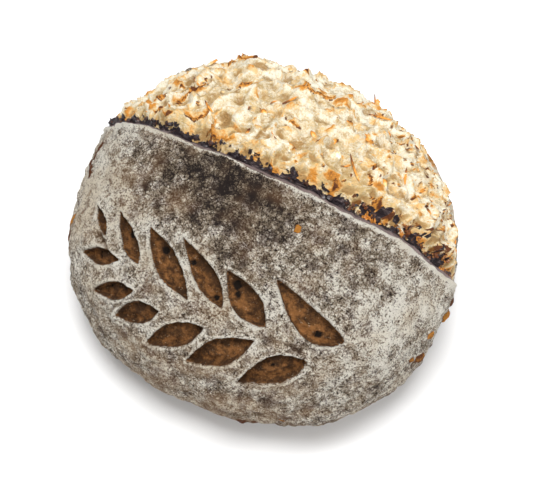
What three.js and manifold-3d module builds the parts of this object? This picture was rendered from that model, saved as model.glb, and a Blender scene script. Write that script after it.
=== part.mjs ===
// Sourdough loaf: one solid of bread, in millimetres, +Z up, standing on its flat base.
// The domed body is longer along X than along Y. One long score runs over the crown from end to end: its front edge
// has lifted into an ear, and the bloom has swelled up behind it with torn flakes. The front crust, -Y, carries a
// scored sprig of leaves, cut through the crust to the crumb.
// The origin is the middle of the box round the loaf, at the base.

import * as THREE from "three";
import { mergeVertices } from "three/addons/utils/BufferGeometryUtils.js";
import Module from "manifold-3d";

const wasm = await Module();
wasm.setup();

// ---------- driving dimensions ----------

const LENGTH = 245; // of the domed body, along its own long axis
const WIDTH = 224.4;
const BELLY = 49; // height of the widest level above the base
const CROWN = 80; // rise of the dome above that level
const UNDERSIDE = 66; // depth that the underside would reach if the base didn't cut it off
const BODY_TURN = -6.7; // degrees about Z from +X to the body's long axis
const DOME_POWER = 2.2; // 2 is an ellipse, and more is squarer
const UNDERSIDE_POWER = 2.3;
const BASE_EDGE = 3; // rounding where the underside meets the base
const FLAT_UNDER = 0.5; // the flat of the base runs out to where the rounded edge has risen this much
const BODY_SHIFT = [-2.1, -0.2]; // of the body's axis from the origin, which is the middle of the uneven loaf
// Where the body has fallen in a little, from the middle of its belly.
const SAGS = [
  { depth: 3.2, reach: 36, at: new THREE.Vector3(-94, 44, 46) },
  { depth: 3, reach: 36, at: new THREE.Vector3(-116, -22, 24) },
];
const UNEVEN = [
  { height: 0.9, length: 62, seed: 1 },
  { height: 0.4, length: 23, seed: 2 },
];

const EAR_SET_BACK = 1; // of the ear's rim behind the body's axis at mid length
const EAR_BOW = 10.5; // more set back at the ear's reach
const EAR_REACH = 115; // along X
const EAR_LIFT = 6; // of the rim over the dome
const EAR_LEFT_END = { share: 0.4, from: -114, to: -90 }; // of the lift at the left end, and where it grows along X
const EAR_WAVE = { height: 1.2, length: 46, seed: 3 };
const EAR_RUN = 17; // how far in front of the rim the crust starts to lift
const CREVICE_DEPTH = 2.5; // under the dome, behind the ear
const CREVICE_WIDTH = { left: 7, right: 9.5 }; // from the rim to the floor
const CREVICE_WIDENS = { from: -20, to: 80 }; // along X
const SCORE_END = { from: 4, to: 30 }; // heights above the belly over which the score grows at both ends

const BLOOM_RISE = 6; // of the bloom over the dome
const BLOOM_PEAK = 0.6; // power that sets the rise near the crevice: at 1 it would be in the bloom's middle
const BLOOM_LOW_END = { from: -116, to: -58 }; // along X, where the bloom grows to its full height
const BLOOM_SHOULDER = 9; // width of the climb from the crevice onto the bloom
const BLOOM_FOOT = 2; // depth of the step down to the back crust
const BLOOM_FOOT_FROM = 0.62; // share of the bloom's width at which it starts to fall away
const BLOOM_ANGLE = 82; // degrees about X that the bloom covers at mid length
const BLOOM_NARROWING = { left: 14, right: 10 }; // degrees less at 100 mm from mid length
const BACK_LIP = 1.4; // of the back crust along the bloom
const BACK_LIP_FALL = 7; // how fast the lip dies away
const LUMPS = { height: 1.7, length: 40, seed: 5 };
const CRAGS = { height: 2.2, length: 22, seed: 8 };

const SPIKE_ROOT = 0.3; // share of a shard or flake that is sunk in the crust
const SPIKES_NARROW = 0.3; // share that the spread of the spikes is less at 100 mm from mid length
const SHARDS = {
  // burnt points along the crevice
  count: 36,
  span: [-98, 108],
  degreesBehind: [3.5, 7.5],
  width: [4, 8],
  thickness: [2.2, 3.4],
  height: [5.5, 9.5],
  turn: [-0.8, 0.8],
  lean: [-0.7, -0.1],
  seed: 11,
};
const FLAKES = {
  // torn flakes on the bloom
  count: 40,
  span: [-82, 98],
  degreesBehind: [15, 64],
  width: [7, 13],
  thickness: [2.4, 3.4],
  height: [8, 12],
  turn: [-2.4, 2.4],
  lean: [0.95, 1.3],
  seed: 29,
};

const LEAF_DEPTH = 5.5;
const PATTERN_SLOPE = 50; // degrees above level that the plane of the pattern faces
const PATTERN_MIDDLE = { y: -83.5, z: 55.7 }; // point on the dome at mid length, from the middle of the belly
// For each leaf from the sprig's tip: its inner tip along the sprig and across it, its length, its direction in
// degrees, its half-widths on the two sides, and where it is widest as a share of its length.
const LEAVES = [
  { along: -72.5, across: 14.8, length: 20, turn: 144, above: 3.4, below: 3.2, widest: 0.46 },
  { along: -44, across: 12, length: 34, turn: 144, above: 5.4, below: 5.3, widest: 0.4 },
  { along: -7, across: 6.6, length: 48, turn: 146, above: 6.7, below: 8.3, widest: 0.5 },
  { along: 12.6, across: 10.9, length: 45.5, turn: 145.5, above: 7, below: 5.4, widest: 0.4 },
  { along: 39.8, across: 10, length: 40.2, turn: 147.7, above: 7.4, below: 8.6, widest: 0.44 },
  { along: 82.4, across: 16, length: 54.1, turn: 155.7, above: 3.6, below: 12.4, widest: 0.33 },
  { along: -56.5, across: 8, length: 30.3, turn: 201, above: 5.2, below: 5, widest: 0.52 },
  { along: -40, across: -3, length: 30.5, turn: 208, above: 5.2, below: 6, widest: 0.48 },
  { along: -21, across: -6.7, length: 33.1, turn: 214.5, above: 7.6, below: 6.7, widest: 0.47 },
  { along: 7.5, across: -4.3, length: 40.8, turn: 220, above: 7.7, below: 7.4, widest: 0.47 },
  { along: 37, across: 0.4, length: 46, turn: 222, above: 7.9, below: 8.5, widest: 0.48 },
  { along: 68.1, across: -1.2, length: 43.5, turn: 220.5, above: 9.5, below: 7.9, widest: 0.42 },
];
const LEAF_STEPS = 8; // along each side of a leaf
const LEAF_PRISM = { from: -90, to: 50 }; // from the pattern's plane

// Columns of facets round the loaf: each band runs on to an angle about X, in degrees behind the ear.
const BANDS_START = -235;
const BANDS = [
  { to: -137, columns: 6 },
  { to: -105, columns: 6 },
  { to: -14, columns: 15 },
  { to: -1.5, columns: 4 },
  { to: 1.5, columns: 2 },
  { to: 9, columns: 4 },
  { to: BLOOM_ANGLE + 4, columns: 20 },
  { to: BANDS_START + 360, columns: 5 },
];
const ROWS = 54;
const MOST_TURN = 28; // degrees that the columns turn to follow the ear, near the ends

// ---------- small maths ----------

const { degToRad, smoothstep, lerp, clamp } = THREE.MathUtils;
const GOLDEN_ANGLE = Math.PI * (3 - Math.sqrt(5));
const CROSSED_WAVES = 6;

// Even draws between two limits that are the same each run.
function seededDraws(seed) {
  let state = seed;
  return ([low, high]) => {
    state = (Math.imul(state, 1664525) + 1013904223) >>> 0;
    return lerp(low, high, state / 2 ** 32);
  };
}

// Smooth waves in crossed directions, about as high and deep as their height, for uneven dough.
function waves(p, { height, length, seed }) {
  let sum = 0;
  for (let i = 0; i < CROSSED_WAVES; i++) {
    const up = 1 - (2 * i + 1) / CROSSED_WAVES;
    const level = Math.sqrt(1 - up * up);
    const turn = GOLDEN_ANGLE * (i + seed * CROSSED_WAVES);
    const along = p.x * level * Math.cos(turn) + p.y * level * Math.sin(turn) + p.z * up;
    sum += Math.sin(((2 * Math.PI) / length) * along * (1 + i / CROSSED_WAVES) + i * seed + turn);
  }
  return (height * sum) / Math.sqrt(CROSSED_WAVES);
}

// ---------- the domed body, about the middle of its belly ----------

function planRadius(azimuth) {
  const turned = azimuth - degToRad(BODY_TURN);
  const oval = 1 / Math.hypot(Math.cos(turned) / (LENGTH / 2), Math.sin(turned) / (WIDTH / 2));
  const corners = 0.0065 * Math.cos(3 * azimuth) - 0.0134 * Math.cos(4 * azimuth) - 0.0052 * Math.sin(4 * azimuth);
  return oval * (1 + corners);
}

// The point of the smooth body in a direction, before the base cuts it off.
function roundBody(direction) {
  const up = direction.z;
  const level = Math.sqrt(Math.max(0, 1 - up * up));
  const [power, rise] = up >= 0 ? [DOME_POWER, CROWN] : [UNDERSIDE_POWER, UNDERSIDE];
  const across = level / planRadius(Math.atan2(direction.y, direction.x));
  const radius = 1 / Math.pow(Math.pow(across, power) + Math.pow(Math.abs(up) / rise, power), 1 / power);
  return direction.clone().multiplyScalar(radius);
}

// The body's outward normal, from three nearby points.
function outward(direction) {
  const step = 0.01;
  const side = new THREE.Vector3(0, 0, 1).cross(direction);
  if (side.lengthSq() < 1e-8) side.set(1, 0, 0);
  side.normalize();
  const other = new THREE.Vector3().crossVectors(direction, side);
  const nearby = (toward) => roundBody(direction.clone().addScaledVector(toward, step).normalize());
  const here = roundBody(direction);
  return nearby(side).sub(here).cross(nearby(other).sub(here)).normalize();
}

// Rounds the underside off onto the flat base at height 0, and puts the point in the loaf's frame.
function ontoBase(point) {
  const height = point.z + BELLY;
  if (height < 0) point.multiplyScalar(BELLY / -point.z);
  const rounded = clamp(height + BASE_EDGE, 0, 2 * BASE_EDGE) ** 2 / (4 * BASE_EDGE);
  const risen = rounded + Math.max(0, height - BASE_EDGE);
  return point.set(point.x + BODY_SHIFT[0], point.y + BODY_SHIFT[1], risen < FLAT_UNDER ? 0 : risen);
}

// ---------- the score: ear, crevice and bloom ----------

function earLine(x) {
  return EAR_SET_BACK + EAR_BOW * (x / EAR_REACH) ** 2;
}

// The angle about X that the bloom covers at a distance along X.
function bloomEnd(x) {
  const narrowing = x < 0 ? BLOOM_NARROWING.left : BLOOM_NARROWING.right;
  return degToRad(BLOOM_ANGLE - narrowing * (x / 100) ** 4);
}

// Where a point lies across the score: how far behind the ear's rim in millimetres, and its share of the bloom.
function acrossScore(p) {
  const back = p.y - earLine(p.x);
  const angle = Math.atan2(back, p.z);
  return { behind: angle * Math.hypot(back, p.z), share: angle / bloomEnd(p.x) };
}

// Height of the bloom over the dome, with its lumps and crags.
function bloomHeight(p, share) {
  const crown = BLOOM_RISE * Math.sin(Math.PI * share ** BLOOM_PEAK);
  const crags = 0.6 * CRAGS.height - Math.abs(waves(p, CRAGS));
  const full = smoothstep(p.x, BLOOM_LOW_END.from, BLOOM_LOW_END.to);
  return lerp((crown + waves(p, LUMPS) + crags) * full, -BLOOM_FOOT, smoothstep(share, BLOOM_FOOT_FROM, 1));
}

// Height over the dome of the crust along the score.
function scoreHeight(p) {
  const { behind, share } = acrossScore(p);
  const ends = smoothstep(p.z, SCORE_END.from, SCORE_END.to);
  const fullness = lerp(EAR_LEFT_END.share, 1, smoothstep(p.x, EAR_LEFT_END.from, EAR_LEFT_END.to));
  const lift = EAR_LIFT * fullness + waves(p, EAR_WAVE);
  if (behind <= 0) return ends * lift * Math.exp(behind / EAR_RUN);
  if (share > 1) return ends * BACK_LIP * Math.exp((1 - share) * BACK_LIP_FALL);
  const widening = smoothstep(p.x, CREVICE_WIDENS.from, CREVICE_WIDENS.to);
  const crevice = lerp(CREVICE_WIDTH.left, CREVICE_WIDTH.right, widening);
  const floor = -CREVICE_DEPTH * smoothstep(p.x, BLOOM_LOW_END.from, BLOOM_LOW_END.to);
  if (behind < crevice) return ends * lerp(lift, floor, smoothstep(behind, 0, crevice));
  const climb = smoothstep(behind, crevice, crevice + BLOOM_SHOULDER);
  return ends * lerp(floor, bloomHeight(p, share), climb);
}

// ---------- the skin ----------

function skinPoint(direction, inset) {
  const body = roundBody(direction);
  let height = body.z > 0 ? scoreHeight(body) : 0;
  for (const wave of UNEVEN) height += waves(body, wave);
  for (const sag of SAGS) height -= sag.depth * Math.exp(-((body.distanceTo(sag.at) / sag.reach) ** 2));
  const aboveBase = smoothstep(direction.z, -0.55, -0.2);
  return ontoBase(body.addScaledVector(outward(direction), height * aboveBase - inset));
}

// A direction by the angle from the left end, -X, and the angle about X from the top towards the back.
function directionAt(polar, angle) {
  return new THREE.Vector3(-Math.cos(polar), Math.sin(polar) * Math.sin(angle), Math.sin(polar) * Math.cos(angle));
}

// How far a row of the grid turns about X so that its first point lies on the ear's line.
function turnToEar(polar) {
  let turn = 0;
  for (let pass = 0; pass < 4; pass++) {
    const p = roundBody(directionAt(polar, turn));
    turn = clamp(Math.atan2(earLine(p.x), p.z), 0, degToRad(MOST_TURN));
  }
  return turn;
}

// The angle about X behind the ear at each column.
function columnAngles() {
  const angles = [];
  let from = BANDS_START;
  for (const band of BANDS) {
    for (let i = 0; i < band.columns; i++) angles.push(degToRad(lerp(from, band.to, i / band.columns)));
    from = band.to;
  }
  return angles;
}

// A sphere with its poles at the loaf's two ends, whose points are moved onto the loaf, or to an inset from it.
function skinGeometry(inset) {
  const angles = columnAngles();
  const geometry = new THREE.SphereGeometry(1, angles.length, ROWS);
  const position = geometry.getAttribute("position");
  let i = 0;
  for (let row = 0; row <= ROWS; row++) {
    const polar = (Math.PI * row) / ROWS;
    const atPole = row % ROWS === 0;
    const turn = turnToEar(polar);
    for (let column = 0; column <= angles.length; column++) {
      const angle = atPole ? 0 : angles[column % angles.length] + turn;
      const p = skinPoint(directionAt(polar, angle), inset);
      position.setXYZ(i++, p.x, p.y, p.z);
    }
  }
  return geometry;
}

// ---------- leaves ----------

// The two sides meet in a point at both tips.
function leafShape(leaf) {
  const skew = Math.log(0.5) / Math.log(leaf.widest);
  const side = (share, half) => new THREE.Vector2(share * leaf.length, half * Math.sin(Math.PI * share ** skew));
  const points = [];
  for (let i = 0; i < LEAF_STEPS; i++) points.push(side(i / LEAF_STEPS, -leaf.above));
  for (let i = LEAF_STEPS; i > 0; i--) points.push(side(i / LEAF_STEPS, leaf.below));
  return new THREE.Shape(points);
}

// A prism through the crust, square to the pattern's plane.
function leafPrism(leaf) {
  const depth = LEAF_PRISM.to - LEAF_PRISM.from;
  const geometry = new THREE.ExtrudeGeometry(leafShape(leaf), { depth, bevelEnabled: false });
  geometry.translate(0, 0, LEAF_PRISM.from);
  geometry.rotateZ(degToRad(leaf.turn));
  geometry.translate(leaf.along, leaf.across, 0);
  geometry.rotateX(degToRad(90 - PATTERN_SLOPE));
  return geometry.translate(BODY_SHIFT[0], PATTERN_MIDDLE.y + BODY_SHIFT[1], PATTERN_MIDDLE.z + BELLY);
}

// ---------- burnt shards and torn flakes ----------

// A thin four-sided spike along local Y, with its root below the origin.
function spike(width, thickness, height) {
  const geometry = new THREE.ConeGeometry(0.5, 1, 4, 1);
  geometry.translate(0, 0.5 - SPIKE_ROOT, 0);
  return geometry.scale(width, height, thickness);
}

// The direction of the place behind the ear that lies at a distance along X.
function directionBehindEar(x, degreesBehind) {
  let polar = Math.acos(clamp((-2 * x) / LENGTH, -1, 1));
  for (let pass = 0; pass < 6; pass++) {
    const p = roundBody(directionAt(polar, turnToEar(polar) + degToRad(degreesBehind)));
    polar = clamp(polar + (2 * (x - p.x)) / LENGTH, 0.1, Math.PI - 0.1);
  }
  return directionAt(polar, turnToEar(polar) + degToRad(degreesBehind));
}

// Stands a piece on the skin, turned about the skin's normal and leaning.
function standOnSkin(geometry, direction, turn, lean) {
  const foot = skinPoint(direction, 0);
  const upright = new THREE.Quaternion().setFromUnitVectors(new THREE.Vector3(0, 1, 0), outward(direction));
  const turned = new THREE.Quaternion().setFromEuler(new THREE.Euler(lean, turn, 0, "YXZ"));
  geometry.applyQuaternion(upright.multiply(turned));
  return geometry.translate(foot.x, foot.y, foot.z);
}

// Spikes spread evenly along X, and evenly across by steps of the golden ratio. The score is narrower at its ends.
function scatteredSpikes(kind) {
  const draw = seededDraws(kind.seed);
  const pieces = [];
  for (let i = 0; i < kind.count; i++) {
    const x = lerp(kind.span[0], kind.span[1], (i + draw([0.2, 0.8])) / kind.count);
    const across = lerp(kind.degreesBehind[0], kind.degreesBehind[1], (i * GOLDEN_ANGLE) % 1);
    const narrow = 1 - SPIKES_NARROW * (x / 100) ** 2;
    const piece = spike(draw(kind.width), draw(kind.thickness), draw(kind.height));
    const direction = directionBehindEar(x, across * Math.max(0.5, narrow));
    pieces.push(standOnSkin(piece, direction, draw(kind.turn), draw(kind.lean)));
  }
  return pieces;
}

// ---------- solids ----------

function toSolid(geometry) {
  geometry.deleteAttribute("normal");
  geometry.deleteAttribute("uv");
  const merged = mergeVertices(geometry, 1e-4);
  const vertProperties = new Float32Array(merged.getAttribute("position").array);
  const triVerts = new Uint32Array(merged.index.array);
  return new wasm.Manifold(new wasm.Mesh({ numProp: 3, vertProperties, triVerts }));
}

function toGeometry(solid) {
  const { vertProperties, triVerts } = solid.getMesh();
  const geometry = new THREE.BufferGeometry();
  geometry.setAttribute("position", new THREE.BufferAttribute(new Float32Array(vertProperties), 3));
  geometry.setIndex(new THREE.BufferAttribute(new Uint32Array(triVerts), 1));
  geometry.computeVertexNormals();
  return geometry;
}

function loafSolid() {
  let loaf = toSolid(skinGeometry(0));
  const crumb = toSolid(skinGeometry(LEAF_DEPTH));
  for (const leaf of LEAVES) loaf = loaf.subtract(toSolid(leafPrism(leaf)).subtract(crumb));
  for (const piece of [...scatteredSpikes(SHARDS), ...scatteredSpikes(FLAKES)]) loaf = loaf.add(toSolid(piece));
  return loaf;
}

// ---------- the scene graph ----------

function crustMaterial() {
  return new THREE.MeshStandardMaterial({ color: 0x9a8a74, roughness: 0.85, metalness: 0 });
}

const loaf = new THREE.Mesh(toGeometry(loafSolid()), crustMaterial());
loaf.name = "loaf";

const group = new THREE.Group();
group.add(loaf);

export default group;
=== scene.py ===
import functools
import math

import bmesh
import bpy
import numpy as np
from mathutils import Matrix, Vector


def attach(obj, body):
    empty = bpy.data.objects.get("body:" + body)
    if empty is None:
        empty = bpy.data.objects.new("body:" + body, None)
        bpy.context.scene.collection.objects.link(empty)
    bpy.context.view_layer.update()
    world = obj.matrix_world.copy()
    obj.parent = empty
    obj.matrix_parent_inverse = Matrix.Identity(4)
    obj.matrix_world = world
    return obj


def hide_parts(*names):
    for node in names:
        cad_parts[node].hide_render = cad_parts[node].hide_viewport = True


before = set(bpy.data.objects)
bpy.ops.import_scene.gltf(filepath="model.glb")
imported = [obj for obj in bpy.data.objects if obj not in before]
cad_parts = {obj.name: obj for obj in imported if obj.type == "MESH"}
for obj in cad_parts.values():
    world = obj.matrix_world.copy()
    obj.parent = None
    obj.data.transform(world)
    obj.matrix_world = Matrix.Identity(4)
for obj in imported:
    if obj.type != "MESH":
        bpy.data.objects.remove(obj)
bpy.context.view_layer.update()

bl_info = {
    "name": "Sourdough Loaf",
    "version": (1, 0, 0),
    "blender": (4, 5, 0),
    "location": "View3D > Sidebar > Loaf",
    "description": "Builds a floured sourdough loaf with an ear, a torn bloom and a scored sprig of leaves",
    "category": "Add Mesh",
}

# Shapes are worked out in millimetres about the middle of the loaf's belly.
# They go into the meshes in metres.
MM = 0.001
SEEDS = {"bloom": 7, "flakes": 23, "strands": 31, "shards": 11}
BODY = "root"
NODE = "loaf"

# ---------- the loaf's form, as in the solid ----------

LENGTH = 245.0
WIDTH = 224.4
BELLY = 49.0
CROWN = 80.0
UNDERSIDE = 66.0
BODY_TURN = math.radians(-6.7)
PLAN_CORNERS = {"three": 0.0065, "four": (0.0134, 0.0052)}
DOME_POWER = 2.2
UNDERSIDE_POWER = 2.3
BASE_EDGE = 3.0
FLAT_UNDER = 0.5
BASE_FADE = (-0.55, -0.2)
BODY_SHIFT = np.array([-2.1, -0.2, BELLY])
SAGS = (
    {"depth": 3.2, "reach": 36.0, "at": (-94.0, 44.0, 46.0)},
    {"depth": 3.0, "reach": 36.0, "at": (-116.0, -22.0, 24.0)},
)
UNEVEN = (
    {"height": 0.9, "length": 62.0, "seed": 1},
    {"height": 0.4, "length": 23.0, "seed": 2},
)
EAR_SET_BACK = 1.0
EAR_BOW = 10.5
EAR_REACH = 115.0
EAR_LIFT = 6.0
EAR_LEFT_END = (0.4, -114.0, -90.0)
EAR_WAVE = {"height": 1.2, "length": 46.0, "seed": 3}
EAR_RUN = 17.0
CREVICE_DEPTH = 2.5
CREVICE_WIDTH = (7.0, 9.5)
CREVICE_WIDENS = (-20.0, 80.0)
SCORE_END = (4.0, 30.0)
BLOOM_RISE = 6.0
BLOOM_PEAK = 0.6
BLOOM_LOW_END = (-116.0, -58.0)
BLOOM_SHOULDER = 9.0
BLOOM_FOOT = 2.0
BLOOM_FOOT_FROM = 0.62
BLOOM_ANGLE = 82.0
BLOOM_NARROWING = (14.0, 10.0)
BACK_LIP = 1.4
BACK_LIP_FALL = 7.0
LUMPS = {"height": 1.7, "length": 40.0, "seed": 5}
CRAGS = {"height": 2.2, "length": 22.0, "seed": 8}
LEAF_DEPTH = 5.5
PATTERN_SLOPE = math.radians(50.0)
PATTERN_MIDDLE = (0.0, -83.5, 55.7)
# Each leaf's inner tip along the sprig and across it, length, direction, half-widths and widest share.
LEAVES = (
    (-72.5, 14.8, 20, 144, 3.4, 3.2, 0.46),
    (-44, 12, 34, 144, 5.4, 5.3, 0.4),
    (-7, 6.6, 48, 146, 6.7, 8.3, 0.5),
    (12.6, 10.9, 45.5, 145.5, 7, 5.4, 0.4),
    (39.8, 10, 40.2, 147.7, 7.4, 8.6, 0.44),
    (82.4, 16, 54.1, 155.7, 3.6, 12.4, 0.33),
    (-56.5, 8, 30.3, 201, 5.2, 5, 0.52),
    (-40, -3, 30.5, 208, 5.2, 6, 0.48),
    (-21, -6.7, 33.1, 214.5, 7.6, 6.7, 0.47),
    (7.5, -4.3, 40.8, 220, 7.7, 7.4, 0.47),
    (37, 0.4, 46, 222, 7.9, 8.5, 0.48),
    (68.1, -1.2, 43.5, 220.5, 9.5, 7.9, 0.42),
)
GOLDEN_ANGLE = math.pi * (3 - math.sqrt(5))
CROSSED_WAVES = 6
MOST_TURN = math.radians(28.0)
FAR_OFF = 99.0


def smooth(value, low, high):
    t = np.clip((value - low) / (high - low), 0.0, 1.0)
    return t * t * (3 - 2 * t)


def lerp(a, b, t):
    return a + (b - a) * t


def waves(p, height, length, seed):
    total = 0.0
    for i in range(CROSSED_WAVES):
        up = 1 - (2 * i + 1) / CROSSED_WAVES
        level = math.sqrt(1 - up * up)
        turn = GOLDEN_ANGLE * (i + seed * CROSSED_WAVES)
        along = p @ np.array([level * math.cos(turn), level * math.sin(turn), up])
        total = total + np.sin(2 * math.pi / length * along * (1 + i / CROSSED_WAVES) + i * seed + turn)
    return height * total / math.sqrt(CROSSED_WAVES)


def plan_radius(azimuth):
    turned = azimuth - BODY_TURN
    oval = 1 / np.hypot(np.cos(turned) / (LENGTH / 2), np.sin(turned) / (WIDTH / 2))
    three, four = PLAN_CORNERS["three"], PLAN_CORNERS["four"]
    corners = three * np.cos(3 * azimuth) - four[0] * np.cos(4 * azimuth) - four[1] * np.sin(4 * azimuth)
    return oval * (1 + corners)


def round_body(direction):
    up = direction[:, 2]
    level = np.sqrt(np.maximum(0, 1 - up * up))
    power = np.where(up >= 0, DOME_POWER, UNDERSIDE_POWER)
    rise = np.where(up >= 0, CROWN, UNDERSIDE)
    across = level / plan_radius(np.arctan2(direction[:, 1], direction[:, 0]))
    radius = (across**power + (np.abs(up) / rise) ** power) ** (-1 / power)
    return direction * radius[:, None]


def away_from(p, place):
    return np.sqrt(((p - np.array(place)) ** 2).sum(1))


def unit(v):
    return v / np.linalg.norm(v, axis=1, keepdims=True)


def outward(direction):
    step = 0.01
    side = np.cross(np.array([0.0, 0.0, 1.0]), direction)
    flat = (side**2).sum(1) < 1e-8
    side[flat] = (1, 0, 0)
    side = unit(side)
    other = np.cross(direction, side)
    here = round_body(direction)
    a = round_body(unit(direction + step * side)) - here
    b = round_body(unit(direction + step * other)) - here
    return unit(np.cross(a, b))


def onto_base(p):
    height = p[:, 2] + BELLY
    below = height < 0
    p = p.copy()
    p[below] *= (BELLY / -p[below, 2])[:, None]
    rounded = np.clip(height + BASE_EDGE, 0, 2 * BASE_EDGE) ** 2 / (4 * BASE_EDGE)
    risen = rounded + np.maximum(0, height - BASE_EDGE)
    p[:, 2] = np.where(risen < FLAT_UNDER, 0.0, risen) - BELLY
    return p + BODY_SHIFT


def ear_line(x):
    return EAR_SET_BACK + EAR_BOW * (x / EAR_REACH) ** 2


def bloom_end(x):
    return np.radians(BLOOM_ANGLE - np.where(x < 0, *BLOOM_NARROWING) * (x / 100) ** 4)


def across_score(p):
    back = p[:, 1] - ear_line(p[:, 0])
    angle = np.arctan2(back, p[:, 2])
    return angle * np.hypot(back, p[:, 2]), angle / bloom_end(p[:, 0])


def bloom_form(p, share):
    crown = BLOOM_RISE * np.sin(math.pi * np.clip(share, 0, 1) ** BLOOM_PEAK)
    crags = 0.6 * CRAGS["height"] - np.abs(waves(p, **CRAGS))
    full = smooth(p[:, 0], *BLOOM_LOW_END)
    return lerp((crown + waves(p, **LUMPS) + crags) * full, -BLOOM_FOOT, smooth(share, BLOOM_FOOT_FROM, 1))


def crevice_width(x):
    return lerp(*CREVICE_WIDTH, smooth(x, *CREVICE_WIDENS))


def crevice_floor(x):
    return -CREVICE_DEPTH * smooth(x, *BLOOM_LOW_END)


def dough_form(p):
    """The unevenness that the whole body shares."""
    height = sum(waves(p, **wave) for wave in UNEVEN)
    for sag in SAGS:
        away = np.linalg.norm(p - np.array(sag["at"]), axis=1)
        height = height - sag["depth"] * np.exp(-((away / sag["reach"]) ** 2))
    return height


def direction_at(polar, angle):
    return np.stack([-np.cos(polar), np.sin(polar) * np.sin(angle), np.sin(polar) * np.cos(angle)], axis=-1)


def turn_to_ear(polar):
    turn = np.zeros_like(polar)
    for _ in range(4):
        p = round_body(direction_at(polar, turn))
        turn = np.clip(np.arctan2(ear_line(p[:, 0]), p[:, 2]), 0, MOST_TURN)
    return turn


# ---------- noise on points ----------


def hashed(cell, salt):
    """An even draw from 0 to 1 for each whole-numbered cell."""
    c = cell.astype(np.int64)
    n = c[..., 0] * 73856093 ^ c[..., 1] * 19349663 ^ c[..., 2] * 83492791 ^ (salt * 2654435761)
    n = (n ^ (n >> 13)) * 1274126177 & 0xFFFFFFFF
    n = (n ^ (n >> 16)) * 2246822519 & 0xFFFFFFFF
    return ((n ^ (n >> 15)) & 0xFFFFFF) / 0xFFFFFF


def soft_noise(p, size, seed, octaves=1):
    """Smooth value noise from -1 to 1, with bumps of a size in millimetres."""
    total, weight, reach = 0.0, 1.0, 0.0
    for octave in range(octaves):
        q = p / size * 2**octave + 17.3 * octave
        base = np.floor(q)
        f = q - base
        f = f * f * f * (f * (f * 6 - 15) + 10)
        value = 0.0
        for corner in range(8):
            offset = np.array([corner & 1, corner >> 1 & 1, corner >> 2 & 1])
            share = np.prod(np.where(offset, f, 1 - f), axis=1)
            value = value + share * hashed(base + offset, seed + octave)
        total = total + weight * (2 * value - 1)
        reach += weight
        weight *= 0.5
    return total / reach * 1.6


def ridged(p, size, seed):
    """Sharp crests between soft hollows, from 0 to 1."""
    return np.maximum(0.0, 1 - 2.2 * np.abs(soft_noise(p, size, seed, 2))) ** 1.5


# ---------- meshes ----------


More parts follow.
